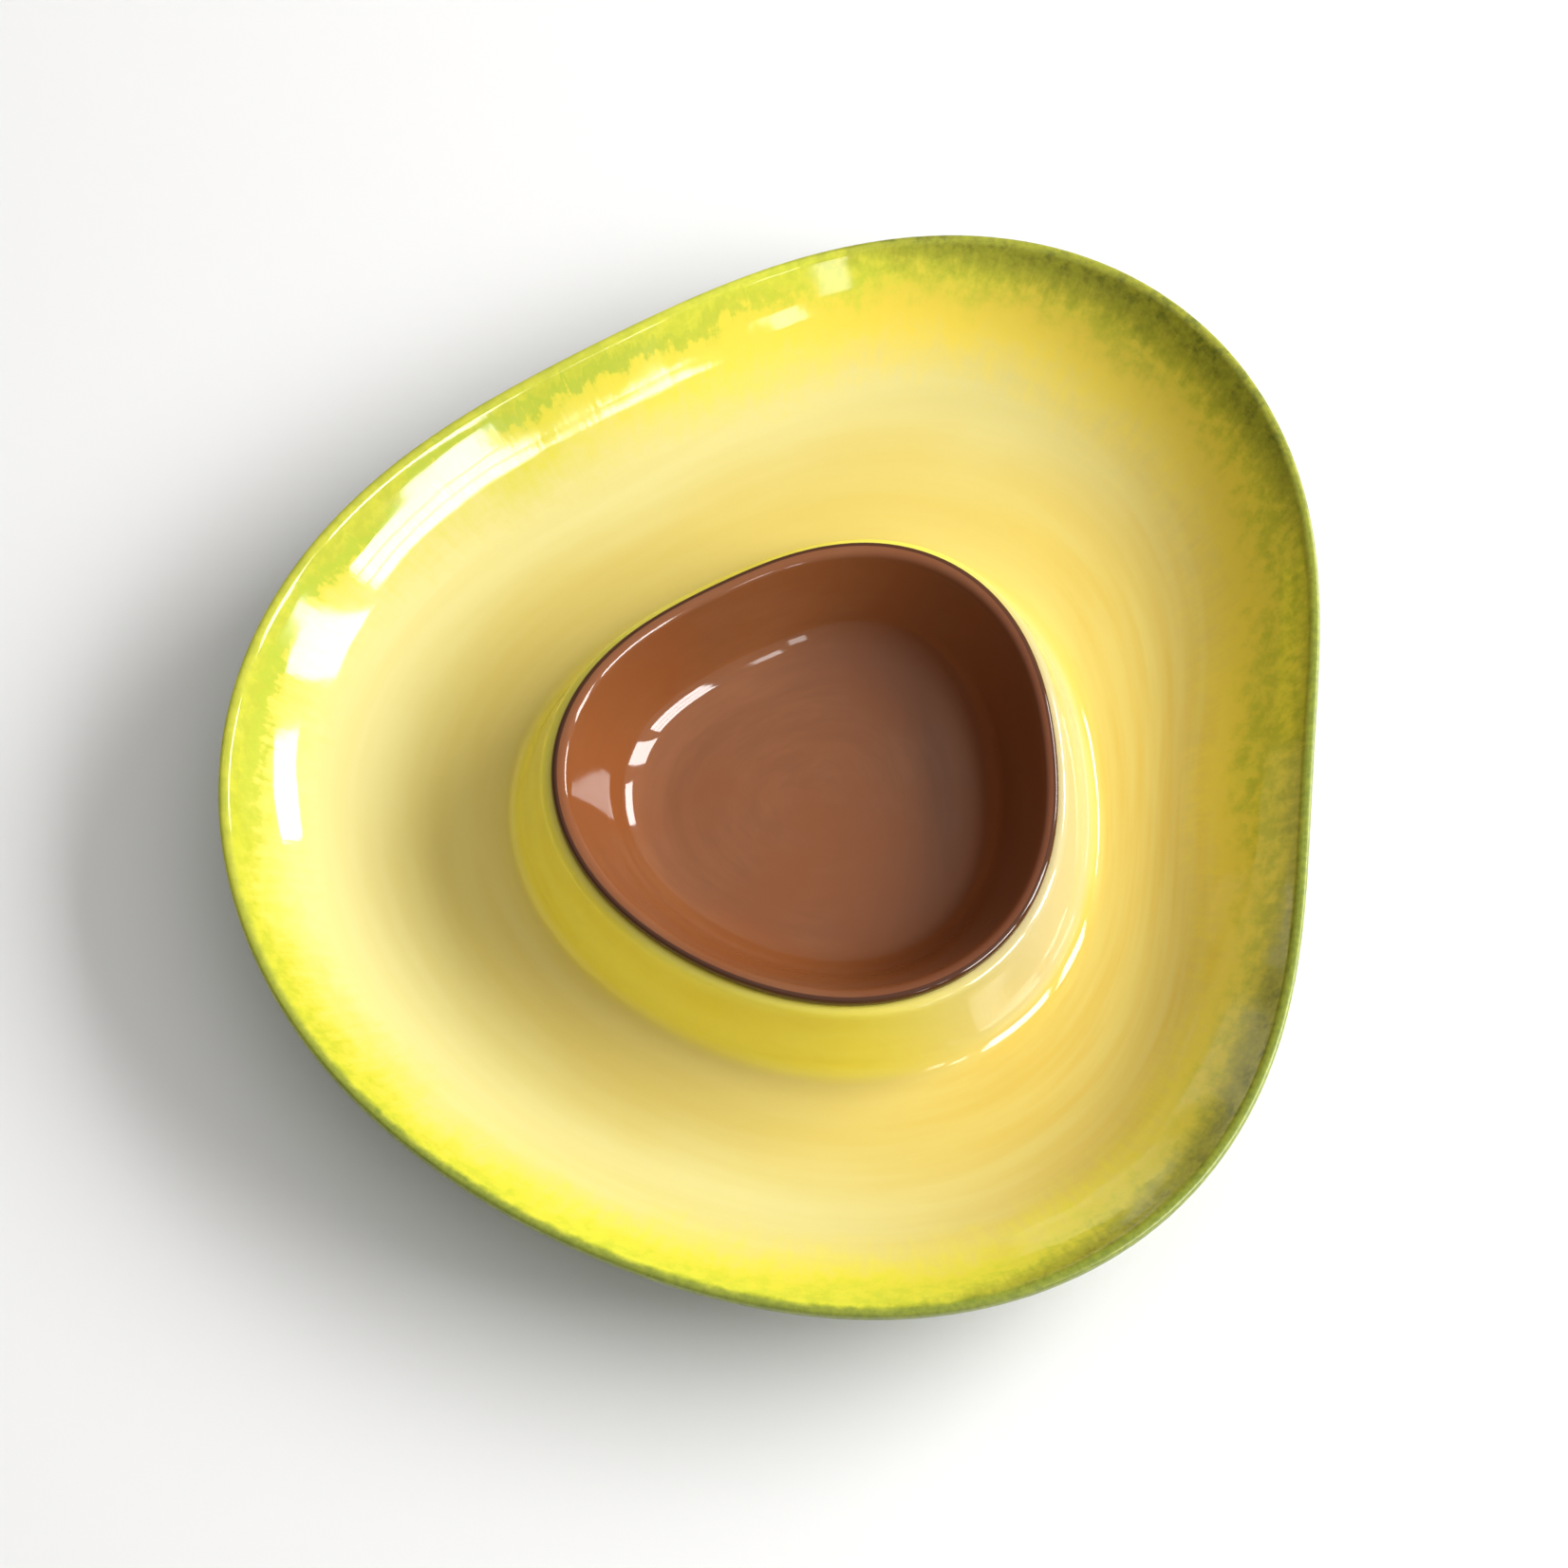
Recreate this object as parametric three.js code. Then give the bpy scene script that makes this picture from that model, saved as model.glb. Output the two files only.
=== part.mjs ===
// Chip and dip server: an avocado-shaped stoneware platter with a brown dip bowl for a pit.
// Millimetres, +Z up, the stem end of the avocado towards +Y, the table at Z = 0.
import * as THREE from 'three';

// ---- driving dimensions ----
const PLATTER_RADIUS = 168.8;             // mean radius of the platter's outer edge
const PIT_RADIUS = 74;                    // mean radius of the dip bowl's lip
const PIT_SHIFT = { x: 6.8, y: -5.6 };    // the pit sits a little off the platter's own centre

// Each outline is a circle with a few lobes. A lobe stands out by its share of the mean radius, and
// its twist is in degrees from the stem end.
const PLATTER_OUTLINE = [
  { lobes: 2, share: 0.051, twist: 1 },
  { lobes: 3, share: 0.0727, twist: 0 },
  { lobes: 4, share: 0.0127, twist: -9 },
];
const PIT_OUTLINE = [
  { lobes: 2, share: 0.017, twist: -36 },
  { lobes: 3, share: 0.056, twist: 3 },
  { lobes: 4, share: 0.008, twist: 7 },
];

const PLATTER_HEIGHT = 40.5;              // table to the crest of the outer lip
const FLOOR_Z = 11;                       // top of the chip trough's floor
const LIP_WIDTH = 6;                      // rounded lip along the platter's edge
const LIP_DEPTH = 4;                      // how far down the lip goes before the wall leans in
const WALL_LEAN = 24;                     // how far the wall leans in between the lip and the floor
const WALL_SWEEP = 29;                    // reach of the long curve from the wall into the floor
const FOOT_RADIUS = 110;                  // middle of the ring that the platter stands on
const FOOT_WIDTH = 6;
const FOOT_HEIGHT = 4.6;
const FOOT_TAPER = 1;                     // the ring's root is this much wider on each side

const COLLAR_TOP_Z = 40.7;                // yellow collar that holds the dip bowl
const COLLAR_TOP_RADIUS = 76.6;
const COLLAR_FOOT_RADIUS = 86;            // where its outer wall meets the trough's floor
const HOLLOW_TOP_Z = 29.7;                // highest point of the hollow under the collar
const HOLLOW_TOP_RADIUS = 73.5;
const HOLLOW_FOOT_RADIUS = 80;
const WELL_RIM_RADIUS = 72.6;             // mouth of the seat for the dip bowl
const WELL_FOOT_RADIUS = 56.5;
const WELL_FLOOR_Z = 7.3;
const WELL_UNDERSIDE_Z = 2;
const WELL_WALL = 4;

const BOWL_TOP_Z = 44.5;                  // crest of the dip bowl's lip
const BOWL_DEPTH = 29.5;                  // lip to the inside floor
const BOWL_WALL = 4;
const BOWL_FLOOR_RADIUS = 53;
const BOWL_FOOT_RADIUS = 48;
const BOWL_FOOT_WIDTH = 5;
const BOWL_FOOT_HEIGHT = 1.8;
const SEAT_GAP = 0.35;                    // clearance under the bowl's foot and lip
const RIM_GAP = 0.5;                      // clearance round the bowl inside the well's mouth

const PLATTER_SEGMENTS = 64;
const BOWL_SEGMENTS = 48;
const FILLET_STEPS = 2;                   // straight steps in a small rounded corner
const COVE_STEPS = 4;                     // straight steps in a wide rounded corner
const SWEEP_STEPS = 7;                    // straight steps in the platter's long curved wall

const PIT_BLEND_START = COLLAR_FOOT_RADIUS - 8;              // inside this a ring is the pit's
const PIT_BLEND_END = PLATTER_RADIUS - 3 * LIP_WIDTH;        // outside this it is the edge's

// ---- shape helpers ----

// An avocado outline as a factor on the mean radius; the angle is measured from the stem end.
function outline(shape, angle) {
  const lobe = ({ lobes, share, twist }) =>
    share * Math.cos(lobes * (angle - THREE.MathUtils.degToRad(twist)));
  return shape.reduce((sum, part) => sum + lobe(part), 1);
}

// Turns a round plan into the avocado's. Up to the collar a ring is a scaled pit outline about the
// pit's centre, near the edge it runs parallel to the platter's outline, and between them it blends.
function bendToAvocado(geometry) {
  const position = geometry.getAttribute('position');
  for (let i = 0; i < position.count; i++) {
    const x = position.getX(i);
    const y = position.getY(i);
    const radius = Math.hypot(x, y);
    const angle = Math.atan2(y, x);
    const fromStem = angle - Math.PI / 2;
    const pitGrowth = Math.min(radius, PIT_BLEND_START) * (outline(PIT_OUTLINE, fromStem) - 1);
    const edgeGrowth = PLATTER_RADIUS * (outline(PLATTER_OUTLINE, fromStem) - 1);
    const blend = THREE.MathUtils.smoothstep(radius, PIT_BLEND_START, PIT_BLEND_END);
    const grown = radius + THREE.MathUtils.lerp(pitGrowth, edgeGrowth, blend);
    position.setX(i, PIT_SHIFT.x * (1 - blend) + grown * Math.cos(angle));
    position.setY(i, PIT_SHIFT.y * (1 - blend) + grown * Math.sin(angle));
  }
  return geometry;
}

// A profile of straight runs between corners. A corner is [radius, z, reach, steps]: it is rounded
// over its reach on both sides, in that many straight steps. The profile starts and ends on the axis
// and goes round the section with the clay on its left.
function roundedProfile(corners) {
  const points = corners.map(([radius, z]) => new THREE.Vector2(radius, z));
  const path = new THREE.Path();
  path.moveTo(points[0].x, points[0].y);
  for (let i = 1; i < points.length - 1; i++) {
    const [, , reach = 0, steps = FILLET_STEPS] = corners[i];
    if (reach === 0) {
      path.lineTo(points[i].x, points[i].y);
      continue;
    }
    const before = points[i].clone().add(
      points[i - 1].clone().sub(points[i]).setLength(reach));
    const after = points[i].clone().add(
      points[i + 1].clone().sub(points[i]).setLength(reach));
    const bend = new THREE.QuadraticBezierCurve(before, points[i], after);
    bend.getPoints(steps).forEach((point) => path.lineTo(point.x, point.y));
  }
  path.lineTo(points.at(-1).x, points.at(-1).y);
  return path.getPoints(1);
}

function turned(corners, segments) {
  const geometry = new THREE.LatheGeometry(roundedProfile(corners), segments);
  geometry.rotateX(Math.PI / 2);
  bendToAvocado(geometry);
  geometry.computeVertexNormals();
  return geometry;
}

function glazed(name, geometry, color) {
  const material = new THREE.MeshStandardMaterial({ color, roughness: 0.15, metalness: 0 });
  const mesh = new THREE.Mesh(geometry, material);
  mesh.name = name;
  return mesh;
}

// ---- platter: well, collar, trough and lip in one casting, hollow under the collar ----
function platter() {
  const edge = PLATTER_RADIUS;
  const footOut = FOOT_RADIUS + FOOT_WIDTH / 2;
  const footIn = FOOT_RADIUS - FOOT_WIDTH / 2;
  const wellFromBelow = [
    [0, WELL_UNDERSIDE_Z],
    [WELL_FOOT_RADIUS + WELL_WALL, WELL_UNDERSIDE_Z, 4],
    [HOLLOW_TOP_RADIUS, HOLLOW_TOP_Z, 3],
    [HOLLOW_FOOT_RADIUS, FOOT_HEIGHT, 6],
  ];
  const footRing = [
    [footIn - FOOT_TAPER, FOOT_HEIGHT],
    [footIn, 0],
    [footOut, 0],
    [footOut + FOOT_TAPER, FOOT_HEIGHT],
  ];
  const outside = [
    [edge - WALL_LEAN, FOOT_HEIGHT + 1, 22, SWEEP_STEPS],
    [edge, PLATTER_HEIGHT - LIP_DEPTH, 1.8],
    [edge - 0.4, PLATTER_HEIGHT, 1.2],
    [edge - LIP_WIDTH / 2, PLATTER_HEIGHT, 1.3],
  ];
  const trough = [
    [edge - LIP_WIDTH, PLATTER_HEIGHT - LIP_DEPTH + 0.5, 1.4],
    [edge - LIP_WIDTH - WALL_LEAN, FLOOR_Z, WALL_SWEEP, SWEEP_STEPS],
    [COLLAR_FOOT_RADIUS, FLOOR_Z - 0.4, 9, COVE_STEPS],
  ];
  const collarAndWell = [
    [COLLAR_TOP_RADIUS, COLLAR_TOP_Z, 2.5],
    [WELL_RIM_RADIUS, COLLAR_TOP_Z, 0.8],
    [WELL_FOOT_RADIUS, WELL_FLOOR_Z, 4],
    [0, WELL_FLOOR_Z],
  ];
  const section = [...wellFromBelow, ...footRing, ...outside, ...trough, ...collarAndWell];
  return glazed('platter', turned(section, PLATTER_SEGMENTS), 0xf0dc5a);
}

// ---- dip bowl: the avocado's pit, standing in the well with its lip over the collar ----
function dipBowl() {
  const footZ = WELL_FLOOR_Z + SEAT_GAP;
  const baseZ = footZ + BOWL_FOOT_HEIGHT;
  const floorZ = BOWL_TOP_Z - BOWL_DEPTH;
  const lipZ = COLLAR_TOP_Z + SEAT_GAP;
  const section = [
    [0, baseZ],
    [BOWL_FOOT_RADIUS - BOWL_FOOT_WIDTH, baseZ, 1],
    [BOWL_FOOT_RADIUS - BOWL_FOOT_WIDTH + 0.5, footZ],
    [BOWL_FOOT_RADIUS, footZ],
    [BOWL_FOOT_RADIUS + 1, baseZ, 0.6],
    [WELL_FOOT_RADIUS, baseZ, 4],
    [WELL_RIM_RADIUS - RIM_GAP, lipZ, 0.8],
    [PIT_RADIUS, lipZ, 0.8],
    [PIT_RADIUS, BOWL_TOP_Z, 1.9],
    [PIT_RADIUS - BOWL_WALL, BOWL_TOP_Z, 1.9],
    [BOWL_FLOOR_RADIUS, floorZ, 8, COVE_STEPS],
    [0, floorZ],
  ];
  return glazed('dip_bowl', turned(section, BOWL_SEGMENTS), 0x8c4a32);
}

// ---- assembly, with the middle of the platter's box at X = Y = 0 ----
const server = new THREE.Group();
const body = platter();
server.add(body, dipBowl());
const middle = new THREE.Box3().setFromObject(body).getCenter(new THREE.Vector3());
server.position.set(-middle.x, -middle.y, 0);

export default server;
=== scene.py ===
"""Looks of the chip and dip server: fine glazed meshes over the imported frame. Metres, +Z up."""

import math

import bpy
import numpy as np
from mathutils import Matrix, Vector


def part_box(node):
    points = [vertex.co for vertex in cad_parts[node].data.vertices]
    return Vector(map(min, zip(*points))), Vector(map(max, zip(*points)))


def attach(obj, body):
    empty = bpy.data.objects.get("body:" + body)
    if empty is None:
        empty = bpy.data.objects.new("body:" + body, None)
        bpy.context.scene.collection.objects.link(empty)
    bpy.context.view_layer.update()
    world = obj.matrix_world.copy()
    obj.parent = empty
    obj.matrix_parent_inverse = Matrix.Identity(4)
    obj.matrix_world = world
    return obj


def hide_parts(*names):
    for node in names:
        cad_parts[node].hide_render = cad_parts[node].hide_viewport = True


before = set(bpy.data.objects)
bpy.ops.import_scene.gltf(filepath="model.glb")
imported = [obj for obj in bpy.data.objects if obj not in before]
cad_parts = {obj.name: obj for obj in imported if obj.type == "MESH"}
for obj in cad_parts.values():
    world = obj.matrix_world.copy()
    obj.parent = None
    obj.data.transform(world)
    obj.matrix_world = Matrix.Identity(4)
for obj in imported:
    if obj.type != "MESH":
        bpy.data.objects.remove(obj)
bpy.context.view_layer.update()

MM = 0.001

# ---- places taken from the frame ----
_, platter_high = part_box("platter")
bowl_low, bowl_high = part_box("dip_bowl")

# ---- sizes of the two castings ----
PLATTER_RADIUS = 168.6 * MM          # mean radius of the outer edge, 0.2 mm inside the CAD's
PIT_RADIUS = 74.0 * MM               # mean radius of the dip bowl's lip
PIT_SHIFT = Vector((6.8, -5.6)) * MM

# Lobes of each outline: how many, share of the mean radius, and twist in degrees from the stem end
PLATTER_OUTLINE = ((2, 0.051, 1), (3, 0.0727, 0), (4, 0.0127, -9))
PIT_OUTLINE = ((2, 0.017, -36), (3, 0.056, 3), (4, 0.008, 7))

LIP_WIDTH = 6 * MM
LIP_DEPTH = 4 * MM
WALL_LEAN = 24 * MM
WALL_SWEEP = 29 * MM
FOOT_RADIUS = 110 * MM
FOOT_WIDTH = 6 * MM
FOOT_HEIGHT = 4.6 * MM
FOOT_TAPER = 1 * MM

COLLAR_TOP_RADIUS = 76.6 * MM
COLLAR_FOOT_RADIUS = 86 * MM
HOLLOW_TOP_RADIUS = 73.5 * MM
HOLLOW_FOOT_RADIUS = 80 * MM
WELL_RIM_RADIUS = 72.6 * MM
WELL_FOOT_RADIUS = 56.5 * MM
WELL_UNDERSIDE = 2 * MM
WELL_WALL = 4 * MM

BOWL_DEPTH = 29.5 * MM
BOWL_WALL = 4 * MM
BOWL_FLOOR_RADIUS = 53 * MM
BOWL_COVE = 12 * MM                  # reach of the soft corner between the wall and the floor
BOWL_FOOT_RADIUS = 48 * MM
BOWL_FOOT_WIDTH = 5 * MM
BOWL_FOOT_HEIGHT = 1.8 * MM
SEAT_GAP = 0.35 * MM
RIM_GAP = 0.5 * MM

COLLAR_TOP = platter_high.z
CREST = COLLAR_TOP - 0.2 * MM
HOLLOW_TOP = COLLAR_TOP - 11 * MM
TROUGH_FLOOR = 11 * MM
BOWL_BOTTOM = bowl_low.z
BOWL_TOP = bowl_high.z
WELL_FLOOR = BOWL_BOTTOM - SEAT_GAP
BOWL_FLOOR = BOWL_TOP - BOWL_DEPTH

PIT_BLEND_START = COLLAR_FOOT_RADIUS - 8 * MM        # inside this a ring is the pit's
PIT_BLEND_END = PLATTER_RADIUS - 3 * LIP_WIDTH       # outside this it is the edge's

STEM_ANGLE = math.pi / 2
AROUND = 240                         # steps round a casting
STRAIGHT_STEP = 2 * MM
CURVE_STEP = 0.45 * MM
MOST_CURVE_STEPS = 40
NO_LENGTH = 1e-9
OUTLINE_SAMPLES = 1440
WOBBLE_WIDTH = 30 * MM               # how far in from the edge the lip's wobble dies away
WOBBLE_HEIGHT = 25 * MM              # and how far down

# ---- the view that the photograph has ----
VIEW_AZIMUTH = math.radians(32)
VIEW_ELEVATION = math.radians(67)
VIEW_DISTANCE = 1.1
VIEW_AIM = Vector((-0.0033, -0.0224, 0.030))
LENS = 84.8                          # millimetres, as is the sensor
SENSOR_WIDTH = 36

# ---- the window that its glaze mirrors, to the viewer's right ----
WINDOW_AZIMUTH = VIEW_AZIMUTH + math.pi / 2
WINDOW_DISTANCE = 2.0
GLOW_TURN = math.radians(10)
GLOW_ELEVATION = math.radians(32)
GLOW_WIDTH = 2.0
GLOW_HEIGHT = 0.8
GLOW_RADIANCE = 11.0
PANES = (    # name, turn from the window's middle, width, bottom and top (degrees), radiance
    ("near_pane", -63, 5, 18, 28, 6.0),
    ("slim_pane", -53.8, 4.6, 28, 36, 8.0),
    ("wide_pane_bottom", -30, 24, 22, 28, 20.0),
    ("wide_pane_middle", -30, 24, 28.6, 34, 20.0),
    ("wide_pane_top", -29.4, 22.8, 34.6, 40, 20.0),
    ("middle_pane", -1.5, 12.5, 15, 43, 18.0),
    ("far_pane", 25, 18, 15.5, 29, 18.0),
)

# ---- the room and the floor ----
ROOM_LIGHT_ELEVATION = math.radians(60)      # brightest towards here, on the window's side
ROOM_FADE_START = -0.1               # cosine to that direction below which the room is dimmest
ROOM_DIMMEST = 0.09
ROOM_BRIGHTEST = 0.78
ROOM_TINT = (1.0, 0.985, 0.96, 1)
FLOOR_HALF_WIDTH = 6.0
FLOOR_SHADE = (0.92, 0.92, 0.92, 1)
FLOOR_ROUGHNESS = 0.9


def toward(azimuth, elevation):
    """Unit vector from the object towards a compass direction; azimuth 0 is the -Y side."""
    return Vector((
        math.sin(azimuth) * math.cos(elevation),
        -math.cos(azimuth) * math.cos(elevation),
        math.sin(elevation),
    ))


# ---- shapes ----

def outline(shape, from_stem):
    """Avocado outline as a factor on its mean radius, by the angle from the stem end."""
    return 1 + sum(
        share * np.cos(lobes * (from_stem - math.radians(twist))) for lobes, share, twist in shape)


def rounded_profile(corners):
    """Points (radius, z) along straight runs whose corners are rounded over their own reach."""
    points = [np.array(c[:2]) for c in corners]
    path = [points[0]]
    for i in range(1, len(points) - 1):
        reach = corners[i][2] if len(corners[i]) > 2 else 0
        back = points[i - 1] - points[i]
        ahead = points[i + 1] - points[i]
        start = points[i] + back / np.linalg.norm(back) * reach
        end = points[i] + ahead / np.linalg.norm(ahead) * reach
        extend_straight(path, start)
        steps = max(2, round(2 * reach / CURVE_STEP)) if reach else 0
        steps = min(steps, MOST_CURVE_STEPS)
        for t in np.linspace(0, 1, steps + 1)[1:]:
            path.append((1 - t) ** 2 * start + 2 * t * (1 - t) * points[i] + t * t * end)
    extend_straight(path, points[-1])
    return np.array(path)


def extend_straight(path, end):
    start = path[-1]
    length = np.linalg.norm(end - start)
    if length < NO_LENGTH:
        return
    steps = math.ceil(length / STRAIGHT_STEP)
    path.extend(start + (end - start) * k / steps for k in range(1, steps + 1))


def smoothstep(x, low, high):
    t = np.clip((x - low) / (high - low), 0, 1)
    return t * t * (3 - 2 * t)


def waves(angle, seed, count=6):
    """A slow hand-thrown wobble between -1 and 1 round the casting."""
    random = np.random.default_rng(seed)
    phases = random.uniform(0, 2 * math.pi, count)
    shares = random.uniform(0.4, 1.0, count)
    total = sum(s * np.cos((k + 2) * angle + p) for k, (s, p) in enumerate(zip(shares, phases)))
    return total / shares.sum()


def bend_to_avocado(radius, angle):
    """Nominal polar place to (x, y): a pit outline inside, the platter's outline at the edge."""
    from_stem = angle - STEM_ANGLE
    blend = smoothstep(radius, PIT_BLEND_START, PIT_BLEND_END)
    pit_growth = np.minimum(radius, PIT_BLEND_START) * (outline(PIT_OUTLINE, from_stem) - 1)
    edge_growth = PLATTER_RADIUS * (outline(PLATTER_OUTLINE, from_stem) - 1)
    grown = radius + pit_growth * (1 - blend) + edge_growth * blend
    x = PIT_SHIFT.x * (1 - blend) + grown * np.cos(angle)
    y = PIT_SHIFT.y * (1 - blend) + grown * np.sin(angle)
    return x, y


def outline_middle():
    """Middle of the bent outline's box, which is where the frame has X = Y = 0."""
    angle = np.linspace(0, 2 * math.pi, OUTLINE_SAMPLES)
    x, y = bend_to_avocado(np.full_like(angle, PLATTER_RADIUS), angle)
    return (x.min() + x.max()) / 2, (y.min() + y.max()) / 2


def turned(name, corners, crest, wobble, seed):
    """A closed casting turned from its section, with what the glazes need stored per point: sweep,
    which is (cos, sin, nominal radius), and inward, which is the distance in from the outer edge
    or, outside the crest, minus the distance from it along the section."""
    profile = rounded_profile(corners)
    inner = profile[1:-1]
    runs = np.linalg.norm(np.diff(inner, axis=0), axis=1)
    along = np.concatenate([[0], np.cumsum(runs)])
    crest_index = int(np.argmin(np.linalg.norm(inner - np.array(crest), axis=1)))
    edge = inner[:, 0].max()
    inward = np.where(
        np.arange(len(inner)) >= crest_index, edge - inner[:, 0], along - along[crest_index])

    angle = np.arange(AROUND) * 2 * math.pi / AROUND
    radius_grid, angle_grid = np.meshgrid(inner[:, 0], angle, indexing="ij")
    height_grid = np.repeat(inner[:, 1:2], AROUND, axis=1)
    near_lip = smoothstep(radius_grid, edge - WOBBLE_WIDTH, edge - LIP_WIDTH)
    near_lip = near_lip * smoothstep(height_grid, crest[1] - WOBBLE_HEIGHT, crest[1])
    height_grid = height_grid - near_lip * wobble * (1 + waves(angle_grid, seed)) / 2
    shrink = near_lip * wobble * (1 + waves(angle_grid, seed + 1, 9)) / 4
    x, y = bend_to_avocado(radius_grid - shrink, angle_grid)
    axis_x, axis_y = bend_to_avocado(np.zeros(1), np.zeros(1))
    x = np.concatenate([axis_x, x.ravel(), axis_x]) - MIDDLE[0]
    y = np.concatenate([axis_y, y.ravel(), axis_y]) - MIDDLE[1]
    z = np.concatenate([profile[:1, 1], height_grid.ravel(), profile[-1:, 1]])

    mesh = bpy.data.meshes.new(name)
    mesh.from_pydata(np.stack([x, y, z], axis=1).tolist(), [], faces_round(len(inner)))
    mesh.shade_smooth()

    sweep = np.zeros((len(x), 3), np.float32)
    sweep[1:-1, 0] = np.cos(angle_grid).ravel()
    sweep[1:-1, 1] = np.sin(angle_grid).ravel()
    sweep[1:-1, 2] = radius_grid.ravel()
    store(mesh, "sweep", "FLOAT_VECTOR", "vector", sweep)
    spread = np.repeat(inward[:, None], AROUND, axis=1).ravel()
    spread = np.concatenate([[inward[0] - inner[0, 0]], spread, [edge]])
    store(mesh, "inward", "FLOAT", "value", spread.astype(np.float32))

    piece = bpy.data.objects.new(name, mesh)
    bpy.context.scene.collection.objects.link(piece)
    return piece


def faces_round(rows):
    """Faces of a turned casting: a fan at each end of the axis and strips between its rows."""
    faces = []
    last_row = 1 + (rows - 1) * AROUND
    last_point = 1 + rows * AROUND
    for j in range(AROUND):
        k = (j + 1) % AROUND
        faces.append((0, 1 + k, 1 + j))
        for start in range(1, last_row, AROUND):
            above = start + AROUND
            faces.append((start + j, start + k, above + k, above + j))
        faces.append((last_row + j, last_row + k, last_point))
    return faces


def store(mesh, name, kind, field, values):
    attribute = mesh.attributes.new(name, kind, "POINT")
    attribute.data.foreach_set(field, values.ravel())


MIDDLE = outline_middle()


def platter():
    edge = PLATTER_RADIUS
    foot_out = FOOT_RADIUS + FOOT_WIDTH / 2
    foot_in = FOOT_RADIUS - FOOT_WIDTH / 2
    well_from_below = [
        (0, WELL_UNDERSIDE),
        (WELL_FOOT_RADIUS + WELL_WALL, WELL_UNDERSIDE, 4 * MM),
        (HOLLOW_TOP_RADIUS, HOLLOW_TOP, 3 * MM),
        (HOLLOW_FOOT_RADIUS, FOOT_HEIGHT, 6 * MM),
    ]
    foot_ring = [
        (foot_in - FOOT_TAPER, FOOT_HEIGHT, 1 * MM),
        (foot_in, 0, 0.7 * MM),
        (foot_out, 0, 0.7 * MM),
        (foot_out + FOOT_TAPER, FOOT_HEIGHT, 1.5 * MM),
    ]
    outside = [
        (edge - WALL_LEAN, FOOT_HEIGHT + 1 * MM, 22 * MM),
        (edge, CREST - LIP_DEPTH, 1.8 * MM),
        (edge - 0.3 * MM, CREST, 1.2 * MM),
        (edge - LIP_WIDTH / 2, CREST, 1.4 * MM),
    ]
    trough = [
        (edge - LIP_WIDTH, CREST - LIP_DEPTH + 0.5 * MM, 1.4 * MM),
        (edge - LIP_WIDTH - WALL_LEAN, TROUGH_FLOOR, WALL_SWEEP),
        (COLLAR_FOOT_RADIUS, TROUGH_FLOOR - 0.4 * MM, 9 * MM),
    ]
    collar_and_well = [
        (COLLAR_TOP_RADIUS, COLLAR_TOP, 2.5 * MM),
        (WELL_RIM_RADIUS, COLLAR_TOP, 0.8 * MM),
        (WELL_FOOT_RADIUS, WELL_FLOOR, 4 * MM),
        (0, WELL_FLOOR),
    ]
    corners = well_from_below + foot_ring + outside + trough + collar_and_well
    crest = (edge - 1.6 * MM, CREST)
    return turned("glazed_platter", corners, crest, wobble=0.8 * MM, seed=3)


def dip_bowl():
    base = BOWL_BOTTOM + BOWL_FOOT_HEIGHT
    lip = COLLAR_TOP + SEAT_GAP
    corners = [
        (0, base),
        (BOWL_FOOT_RADIUS - BOWL_FOOT_WIDTH, base, 1 * MM),
        (BOWL_FOOT_RADIUS - BOWL_FOOT_WIDTH + 0.5 * MM, BOWL_BOTTOM, 0.4 * MM),
        (BOWL_FOOT_RADIUS, BOWL_BOTTOM, 0.4 * MM),
        (BOWL_FOOT_RADIUS + 1 * MM, base, 0.6 * MM),
        (WELL_FOOT_RADIUS, base, 4 * MM),
        (WELL_RIM_RADIUS - RIM_GAP, lip, 0.8 * MM),
        (PIT_RADIUS, lip, 0.8 * MM),
        (PIT_RADIUS, BOWL_TOP, 1.9 * MM),
        (PIT_RADIUS - BOWL_WALL, BOWL_TOP, 1.9 * MM),
        (BOWL_FLOOR_RADIUS, BOWL_FLOOR, BOWL_COVE),
        (0, BOWL_FLOOR),
    ]
    crest = (PIT_RADIUS - BOWL_WALL / 2, BOWL_TOP)
    return turned("glazed_dip_bowl", corners, crest, wobble=0.3 * MM, seed=11)


# ---- material helpers ----

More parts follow.
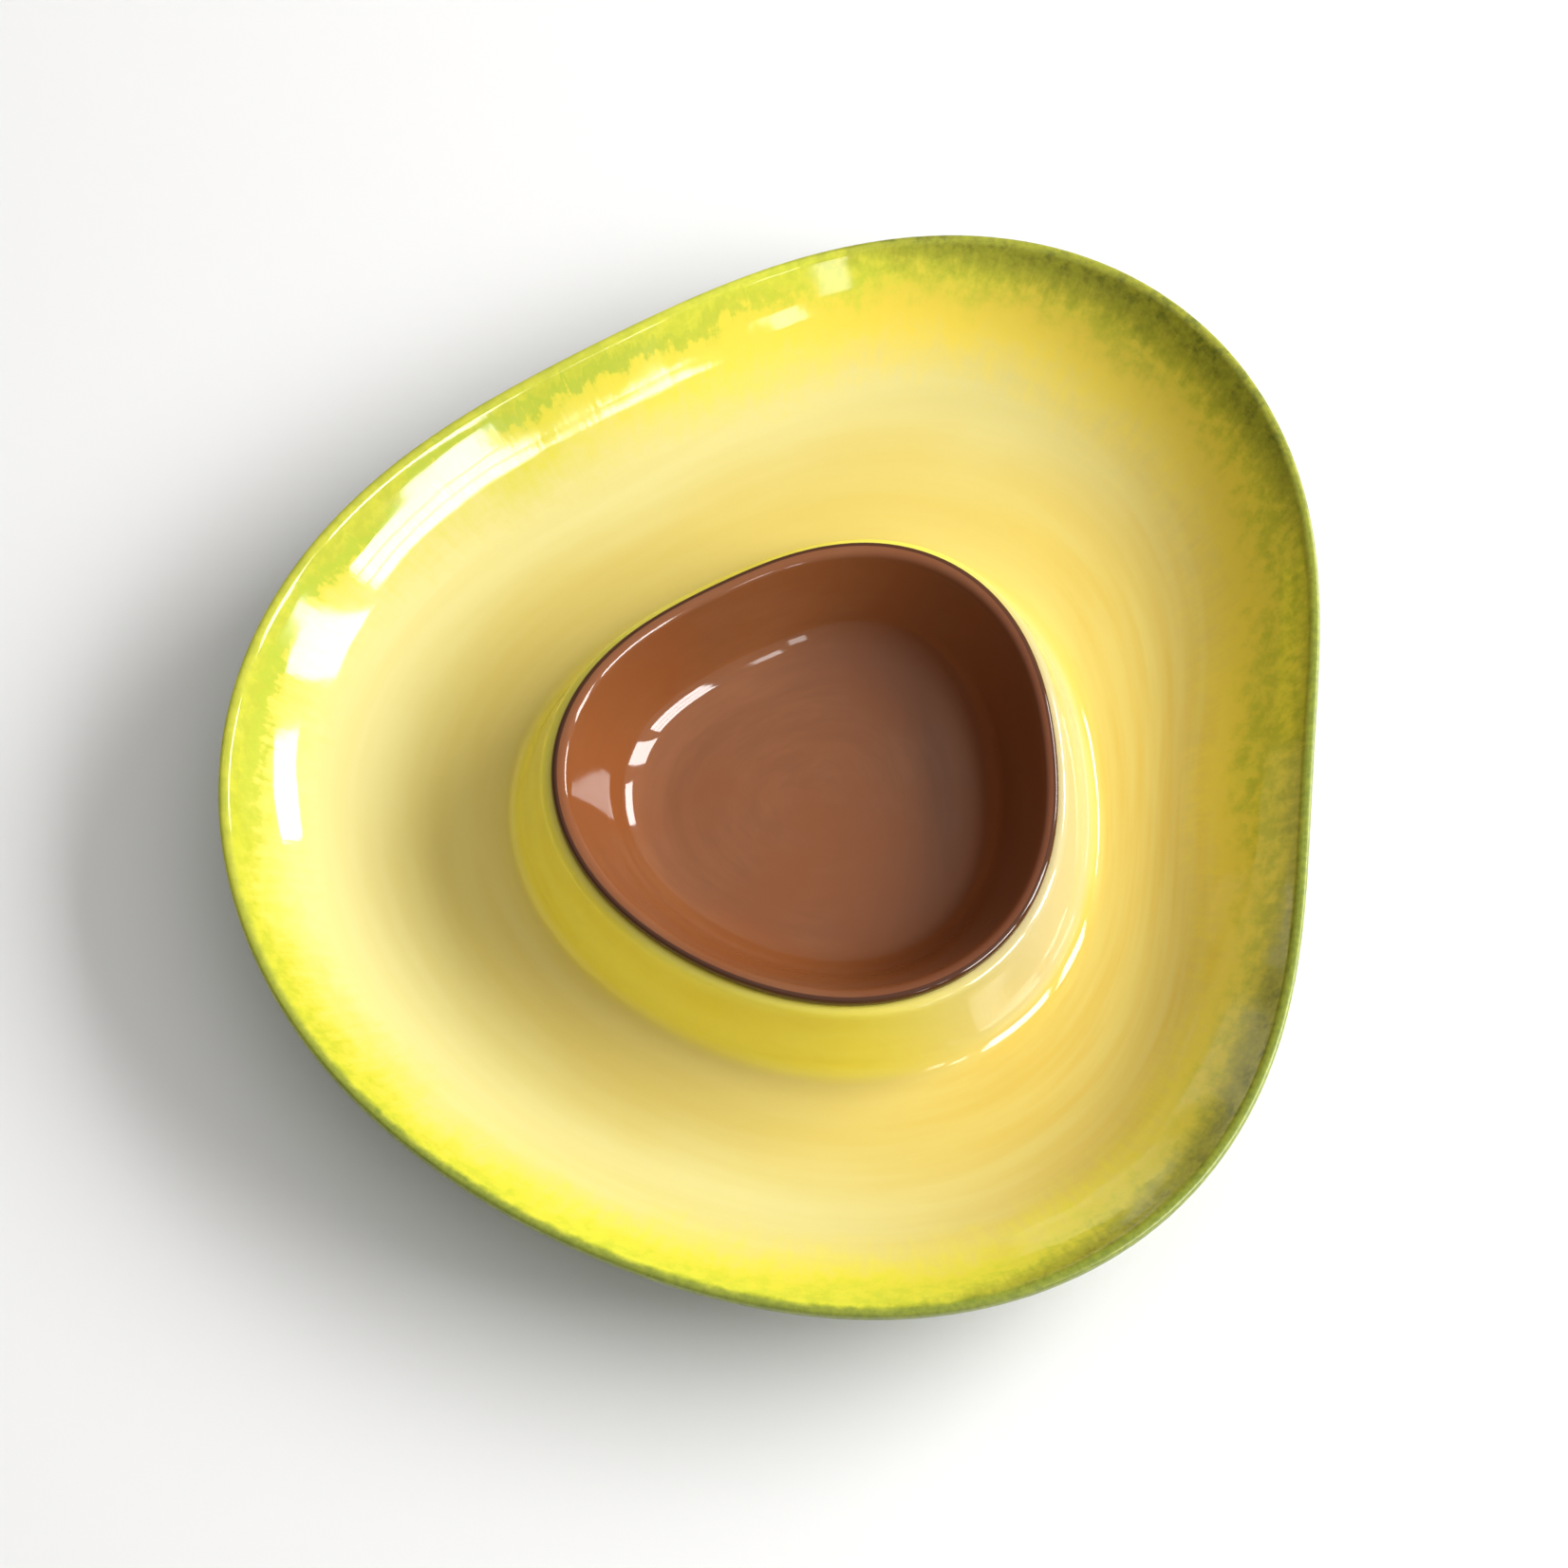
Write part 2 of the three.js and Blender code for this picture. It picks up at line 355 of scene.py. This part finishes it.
class Glaze:
    """A Principled material and short ways to add nodes to it."""

    def __init__(self, name):
        self.material = bpy.data.materials.new(name)
        self.material.use_nodes = True
        self.nodes = self.material.node_tree.nodes
        self.links = self.material.node_tree.links
        self.shader = self.nodes["Principled BSDF"]

    def add(self, kind, inputs, **settings):
        node = self.nodes.new("ShaderNode" + kind)
        for key, value in settings.items():
            setattr(node, key, value)
        for key, value in inputs.items():
            self.put(node.inputs[key], value)
        return node

    def put(self, socket, value):
        if isinstance(value, bpy.types.NodeSocket):
            self.links.new(value, socket)
        else:
            socket.default_value = value

    def attribute(self, name, output):
        return self.add("Attribute", {}, attribute_name=name).outputs[output]

    def math(self, operation, a, b=0.0):
        return self.add("Math", {0: a, 1: b}, operation=operation).outputs[0]

    def stretched(self, vector, factors):
        return self.add("VectorMath", {0: vector, 1: factors}, operation="MULTIPLY").outputs[0]

    def noise(self, vector, scale, detail=3.0, roughness=0.5):
        inputs = {"Vector": vector, "Scale": scale, "Detail": detail, "Roughness": roughness}
        return self.add("TexNoise", inputs).outputs["Fac"]

    def spots(self, vector, scale, low, high):
        """Cells of a Voronoi pattern as dots: 1 in their middles."""
        cells = self.add("TexVoronoi", {"Vector": vector, "Scale": scale})
        return self.between(cells.outputs["Distance"], high, low)

    def between(self, value, low, high, bottom=0.0, top=1.0):
        """Smooth step of value from low to high, mapped on to bottom to top."""
        inputs = {"Value": value, "From Min": low, "From Max": high, "To Min": bottom, "To Max": top}
        return self.add("MapRange", inputs, interpolation_type="SMOOTHSTEP").outputs["Result"]

    def line(self, value, low, high, bottom, top):
        inputs = {"Value": value, "From Min": low, "From Max": high, "To Min": bottom, "To Max": top}
        return self.add("MapRange", inputs).outputs["Result"]

    def mix(self, share, under, over):
        """One colour over another. A Mix node's colours are its inputs 6 and 7 and its output 2."""
        node = self.nodes.new("ShaderNodeMix")
        node.data_type = "RGBA"
        self.put(node.inputs[0], share)
        self.put(node.inputs[6], under)
        self.put(node.inputs[7], over)
        return node.outputs[2]

    def bump(self, height, distance, strength=1.0, normal=None):
        inputs = {"Height": height, "Distance": distance, "Strength": strength}
        if normal is not None:
            inputs["Normal"] = normal
        return self.add("Bump", inputs).outputs["Normal"]


def paint(red, green, blue):
    """An sRGB paint colour, 0 to 255, as the linear colour that shaders take."""
    def linear(channel):
        share = channel / 255
        return share / 12.92 if share <= 0.04045 else ((share + 0.055) / 1.055) ** 2.4
    return (linear(red), linear(green), linear(blue), 1.0)


# ---- materials ----

# Sides of the castings, in degrees from the frame's +X towards +Y. Each says what is strongest there.
GOLD_SIDE = 62                       # yellow, reaching furthest down the wall
GREEN_SIDE = 38                      # the wide lime wash
LIME_SIDE = 175                      # the narrow lime wash and its fringe
WINDOW_DIMMED_SIDE = 200                       # painted shade: darker yellow and lime on the wall that faces the window, holding back its light
WARM_SIDE = 20                       # warm flesh
COLLAR_SHEEN_SIDE = 25                # painted sheen: paler, whiter, dimmer yellow where the collar faces the window
DARK_SIDE = 30                       # the dark rim
DARK_DABS = ((92, 8.5), (342, 7.5))  # where the dark rim is wider, and by how many millimetres
LIP_LINE_AND_SHADE_SIDE = 325                  # a darker green line along the lip, partly its own green and partly painted shade
SHADED_WALL_SIDE = 20                     # painted shade: deep brown on the pit's wall on the window's side, which faces away from the window

GLAZE_IOR = 1.5
BARE_ROUGHNESS = 0.8


def side_of(glaze, sweep, degrees):
    """1 on the side of the casting at that angle from +X, -1 on the far side."""
    direction = (math.cos(math.radians(degrees)), math.sin(math.radians(degrees)), 0)
    return glaze.add("VectorMath", {0: sweep, 1: direction}, operation="DOT_PRODUCT").outputs["Value"]


def bare_clay(glaze, place):
    return glaze.mix(glaze.noise(place, 900.0, 4.0, 0.7), paint(196, 176, 140), paint(214, 198, 166))


class FleshMarks:
    """Places and brush marks that the platter's washes share. Radius and height are in metres;
    inward, ragged, drift, speckle and depth are in millimetres."""

    def __init__(self, g):
        self.place = g.add("TexCoord", {}).outputs["Object"]
        self.sweep = g.attribute("sweep", "Vector")
        self.inward = g.math("MULTIPLY", g.attribute("inward", "Fac"), 1 / MM)
        self.radius = g.add("SeparateXYZ", {"Vector": self.sweep}).outputs["Z"]
        self.height = g.add("SeparateXYZ", {"Vector": self.place}).outputs["Z"]
        self.bristles = g.noise(g.stretched(self.sweep, (60, 60, 90)), 1.0, 4.0, 0.6)
        self.mottle = g.noise(self.place, 210.0, 3.0, 0.6)
        self.sponge = g.noise(self.place, 520.0, 4.0, 0.6)
        self.rings = g.noise(g.stretched(self.sweep, (1.5, 1.5, 180)), 1.0, 3.0, 0.5)
        self.ragged = g.line(self.bristles, 0.0, 1.0, -5.0, 5.0)
        self.drift = g.line(g.noise(self.place, 26.0, 2.0), 0.0, 1.0, -8.0, 8.0)
        self.speckle = g.line(self.mottle, 0.0, 1.0, -5.0, 5.0)
        loose = g.math("ADD", self.drift, self.speckle)
        self.depth = g.math("ADD", g.math("ADD", self.inward, self.ragged), loose)
        self.coarse = g.between(self.mottle, 0.35, 0.65)
        self.fine = g.between(self.sponge, 0.35, 0.65)

    def wash(self, g, degrees, far, near, softness):
        """Cover of a wash: full at the lip, gone past its width, which goes by the side."""
        width = g.line(side_of(g, self.sweep, degrees), -1.0, 1.0, far, near)
        return g.between(g.math("SUBTRACT", width, self.depth), -softness, softness)


def flesh_ground(g, marks):
    """Pale flesh that deepens to butter, warmer on one side."""
    brushed = g.between(marks.rings, 0.3, 0.7)
    flesh = g.mix(g.between(marks.rings, 0.35, 0.7), paint(230, 218, 142), paint(228, 215, 136))
    butter = g.mix(brushed, paint(228, 206, 112), paint(226, 202, 104))
    surface = g.mix(g.between(g.math("ADD", marks.inward, marks.drift), 34.0, 66.0), flesh, butter)
    warm = g.mix(brushed, paint(230, 206, 106), paint(226, 194, 84))
    return g.mix(g.between(side_of(g, marks.sweep, WARM_SIDE), 0.1, 0.9), surface, warm)


def collar_yellow(g, marks, surface):
    """Bright yellow on the collar; on the window's side a painted sheen makes it paler, whiter and
    dimmer.
    """
    collar = g.mix(g.between(marks.rings, 0.35, 0.65), paint(252, 236, 96), paint(248, 228, 82))
    # Painted sheen: the collar's yellow turns pale and whiter on the window's side, standing in for
    # the window's reflection.
    painted_sheen = g.between(side_of(g, marks.sweep, COLLAR_SHEEN_SIDE), 0.2, 0.9)
    collar = g.mix(painted_sheen, collar, paint(208, 192, 138))
    cover = g.between(marks.radius, COLLAR_FOOT_RADIUS + 3 * MM, COLLAR_FOOT_RADIUS - 2 * MM)
    return g.mix(cover, surface, collar)


def lip_washes(g, marks, surface):
    """Yellow that reaches down the wall, and lime over it closer to the lip."""
    # Painted shade: the yellow and lime are darker on the side that faces the window, holding back
    # its light.
    window_dimmed = g.between(side_of(g, marks.sweep, WINDOW_DIMMED_SIDE), 0.1, 0.95)
    gold = g.between(side_of(g, marks.sweep, GOLD_SIDE), -0.3, 0.8)
    yellow = g.mix(window_dimmed, paint(238, 226, 66), paint(214, 206, 60))
    yellow = g.mix(gold, yellow, paint(248, 222, 78))
    surface = g.mix(marks.wash(g, GOLD_SIDE, 15.0, 34.0, 12.0), surface, yellow)

    olive = g.between(side_of(g, marks.sweep, GREEN_SIDE), 0.1, 0.9)
    lime = g.mix(window_dimmed, paint(212, 218, 62), paint(186, 190, 56))
    lime = g.mix(olive, lime, paint(206, 202, 58))
    pale_lime = g.mix(window_dimmed, paint(228, 228, 70), paint(202, 202, 62))
    pale_lime = g.mix(olive, pale_lime, paint(234, 220, 70))
    lime = g.mix(marks.coarse, lime, pale_lime)
    surface = g.mix(marks.wash(g, GREEN_SIDE, 2.0, 19.0, 7.0), surface, lime)
    return g.mix(marks.wash(g, LIME_SIDE, 0.0, 9.0, 4.5), surface, lime)


def dark_rim(g, marks, surface):
    """Dark green sponged along the lip, and wider on its dabs."""
    width = g.line(side_of(g, marks.sweep, DARK_SIDE), -1.0, 1.0, -11.0, 4.5)
    for degrees, extra in DARK_DABS:
        dab = g.between(side_of(g, marks.sweep, degrees), 0.8, 1.0, 0.0, extra)
        width = g.math("ADD", width, dab)
    loose = g.math("MULTIPLY", g.math("ADD", marks.ragged, marks.speckle), 0.7)
    close = g.math("ADD", marks.inward, loose)
    cover = g.between(g.math("SUBTRACT", width, close), -6.0, 4.0)
    patches = g.line(g.between(marks.mottle, 0.42, 0.62), 0.0, 1.0, 0.7, 1.0)
    dark = g.mix(marks.fine, paint(120, 127, 35), paint(152, 154, 44))
    return g.mix(g.math("MULTIPLY", cover, patches), surface, dark)


def fringe_and_shaded_lip_line(g, marks, surface):
    """A green fringe where the narrow lime wash ends, and a darker green line along the lip, partly
    its own green and partly painted shade.
    """
    fringe = g.between(g.math("ABSOLUTE", g.math("SUBTRACT", marks.depth, 8.0)), 3.0, 1.0)
    lime_share = g.between(side_of(g, marks.sweep, LIME_SIDE), 0.5, 0.95, 0.0, 0.7)
    surface = g.mix(g.math("MULTIPLY", fringe, lime_share), surface, paint(172, 190, 54))

    # The lip line is partly the lip's own darker green and partly painted shade where the lip rolls
    # over.
    uneven = g.math("ADD", marks.inward, g.math("MULTIPLY", marks.speckle, 0.25))
    line_share = g.between(side_of(g, marks.sweep, LIP_LINE_AND_SHADE_SIDE), -0.5, 0.4, 0.0, 0.95)
    lip_line_and_shade = g.math("MULTIPLY", g.between(uneven, 4.0, 1.6), line_share)
    return g.mix(lip_line_and_shade, surface, g.mix(marks.fine, paint(124, 138, 40), paint(146, 156, 48)))


def skin_and_underside(g, marks, surface, bare, from_below):
    """Dark green skin outside, cream inside the foot ring and bare clay where it stands."""
    skin = g.mix(g.between(marks.mottle, 0.4, 0.62), paint(74, 92, 30), paint(112, 130, 44))
    skin = g.mix(g.spots(marks.place, 300.0, 0.08, 0.2), skin, paint(142, 152, 64))
    border = g.math("ADD", marks.inward, g.line(marks.mottle, 0.0, 1.0, -2.0, 2.0))
    surface = g.mix(g.between(border, -4.0, -7.0), surface, skin)
    inside_foot = g.between(marks.radius, FOOT_RADIUS + 1 * MM, FOOT_RADIUS)
    surface = g.mix(g.math("MULTIPLY", inside_foot, from_below), surface, paint(226, 214, 176))
    return g.mix(bare, surface, bare_clay(g, marks.place))


def flesh_glaze():
    """Pale flesh that deepens to the collar, and washes of yellow, lime and green at the lip."""
    g = Glaze("flesh_glaze")
    marks = FleshMarks(g)
    from_below = g.between(marks.inward, -30.0, -40.0)
    bare = g.math("MULTIPLY", g.between(marks.height, 1.6 * MM, 0.9 * MM), from_below)
    surface = flesh_ground(g, marks)
    surface = collar_yellow(g, marks, surface)
    surface = lip_washes(g, marks, surface)
    surface = dark_rim(g, marks, surface)
    surface = fringe_and_shaded_lip_line(g, marks, surface)
    surface = skin_and_underside(g, marks, surface, bare, from_below)
    g.put(g.shader.inputs["Base Color"], surface)

    gloss = g.line(g.noise(marks.place, 60.0, 3.0), 0.3, 0.7, 0.04, 0.09)
    thin_lip = g.between(marks.inward, 3.4, 1.8, 0.0, 0.34)
    matt = g.math("MAXIMUM", thin_lip, g.math("MULTIPLY", bare, BARE_ROUGHNESS))
    g.put(g.shader.inputs["Roughness"], g.math("MAXIMUM", gloss, matt))
    g.shader.inputs["IOR"].default_value = GLAZE_IOR
    rolling = g.bump(g.noise(marks.place, 28.0, 2.0), 0.5 * MM, 0.5)
    g.put(g.shader.inputs["Normal"], g.bump(marks.bristles, 0.04 * MM, 0.4, rolling))
    return g.material


def pit_glaze():
    """Brown glaze brushed in rings, with painted shade: deeper brown on the wall that faces away from
    the window, and dark brown on the lip's outer half and down the outside.
    """
    g = Glaze("pit_glaze")
    place = g.add("TexCoord", {}).outputs["Object"]
    sweep = g.attribute("sweep", "Vector")
    inward = g.math("MULTIPLY", g.attribute("inward", "Fac"), 1 / MM)
    radius = g.add("SeparateXYZ", {"Vector": sweep}).outputs["Z"]
    height = g.add("SeparateXYZ", {"Vector": place}).outputs["Z"]

    rings = g.noise(g.stretched(sweep, (1.6, 1.6, 260)), 1.0, 4.0, 0.6)
    clouds = g.noise(place, 30.0, 3.0)
    brown = g.mix(g.between(rings, 0.3, 0.7), paint(132, 80, 46), paint(140, 86, 50))
    brown = g.mix(g.between(clouds, 0.35, 0.7), brown, paint(136, 78, 40))
    wall = g.between(radius, BOWL_FLOOR_RADIUS - 6 * MM, BOWL_FLOOR_RADIUS + 2 * MM)
    # Painted shade: deep brown on the wall that faces away from the window.
    wall_shade = g.between(side_of(g, sweep, SHADED_WALL_SIDE), 0.0, 0.9, 0.0, 0.8)
    brown = g.mix(g.math("MULTIPLY", wall, wall_shade), brown, paint(110, 54, 22))
    # Painted shade: dark brown on the lip's outer half and down the outside, where the lip's roll and
    # the seam below it are in shade.
    brown = g.mix(g.between(inward, 1.4, 0.6), brown, paint(80, 42, 18))
    bare = g.between(height, BOWL_BOTTOM + 0.7 * MM, BOWL_BOTTOM + 0.3 * MM)
    g.put(g.shader.inputs["Base Color"], g.mix(bare, brown, bare_clay(g, place)))

    gloss = g.line(g.noise(place, 60.0, 3.0), 0.3, 0.7, 0.03, 0.08)
    matt = g.math("MULTIPLY", bare, BARE_ROUGHNESS)
    g.put(g.shader.inputs["Roughness"], g.math("MAXIMUM", gloss, matt))
    g.shader.inputs["IOR"].default_value = GLAZE_IOR
    rolling = g.bump(g.noise(place, 35.0, 2.0), 0.4 * MM, 0.5)
    g.put(g.shader.inputs["Normal"], g.bump(rings, 0.04 * MM, 0.4, rolling))
    return g.material


def dress(piece, body, node, material):
    piece.data.materials.append(material)
    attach(piece, body)
    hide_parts(node)


# ---- studio ----

def camera():
    data = bpy.data.cameras.new("camera")
    data.lens = LENS
    data.sensor_width = SENSOR_WIDTH
    back = toward(VIEW_AZIMUTH, VIEW_ELEVATION)
    rig = bpy.data.objects.new("camera", data)
    rig.location = VIEW_AIM + back * VIEW_DISTANCE
    rig.rotation_euler = back.to_track_quat("Z", "Y").to_euler()
    bpy.context.scene.collection.objects.link(rig)
    bpy.context.scene.camera = rig


def floor():
    mesh = bpy.data.meshes.new("floor")
    half = FLOOR_HALF_WIDTH
    corners = [(-half, -half, 0), (half, -half, 0), (half, half, 0), (-half, half, 0)]
    mesh.from_pydata(corners, [], [(0, 1, 2, 3)])
    g = Glaze("floor")
    g.shader.inputs["Base Color"].default_value = FLOOR_SHADE
    g.shader.inputs["Roughness"].default_value = FLOOR_ROUGHNESS
    mesh.materials.append(g.material)
    plane = bpy.data.objects.new("floor", mesh)
    bpy.context.scene.collection.objects.link(plane)


def softbox(name, azimuth, elevation, distance, width, height, radiance):
    """An evenly glowing panel that faces the object."""
    data = bpy.data.lights.new(name, "AREA")
    data.shape = "RECTANGLE"
    data.size = width
    data.size_y = height
    data.energy = radiance * math.pi * width * height
    back = toward(azimuth, elevation)
    lamp = bpy.data.objects.new(name, data)
    lamp.location = back * distance
    lamp.rotation_euler = back.to_track_quat("Z", "Y").to_euler()
    bpy.context.scene.collection.objects.link(lamp)
    return lamp


def window():
    """A low wide window: one soft panel lights the clay, and its panes show in the glaze."""
    glow = softbox(
        "window_glow", WINDOW_AZIMUTH + GLOW_TURN, GLOW_ELEVATION, WINDOW_DISTANCE,
        GLOW_WIDTH, GLOW_HEIGHT, GLOW_RADIANCE)
    glow.visible_glossy = False
    for name, turn, span, low, high, radiance in PANES:
        pane = softbox(
            name,
            azimuth=WINDOW_AZIMUTH + math.radians(turn),
            elevation=math.radians((low + high) / 2),
            distance=WINDOW_DISTANCE,
            width=2 * WINDOW_DISTANCE * math.tan(math.radians(span / 2)),
            height=2 * WINDOW_DISTANCE * math.tan(math.radians((high - low) / 2)),
            radiance=radiance)
        pane.visible_diffuse = False


def room_light():
    """Even light from the room: brightest high on the window's side, dim behind."""
    world = bpy.data.worlds.new("room")
    world.use_nodes = True
    bpy.context.scene.world = world
    nodes, links = world.node_tree.nodes, world.node_tree.links
    direction = nodes.new("ShaderNodeTexCoord")
    facing = nodes.new("ShaderNodeVectorMath")
    facing.operation = "DOT_PRODUCT"
    facing.inputs[1].default_value = toward(WINDOW_AZIMUTH, ROOM_LIGHT_ELEVATION)
    fade = nodes.new("ShaderNodeMapRange")
    fade.inputs["From Min"].default_value = ROOM_FADE_START
    fade.inputs["To Min"].default_value = ROOM_DIMMEST
    fade.inputs["To Max"].default_value = ROOM_BRIGHTEST
    links.new(direction.outputs["Generated"], facing.inputs[0])
    links.new(facing.outputs["Value"], fade.inputs["Value"])
    links.new(fade.outputs["Result"], nodes["Background"].inputs["Strength"])
    nodes["Background"].inputs["Color"].default_value = ROOM_TINT


camera()
dress(platter(), "platter", "platter", flesh_glaze())
dress(dip_bowl(), "dip_bowl", "dip_bowl", pit_glaze())
floor()
window()
room_light()
bpy.context.scene.view_settings.view_transform = "Standard"
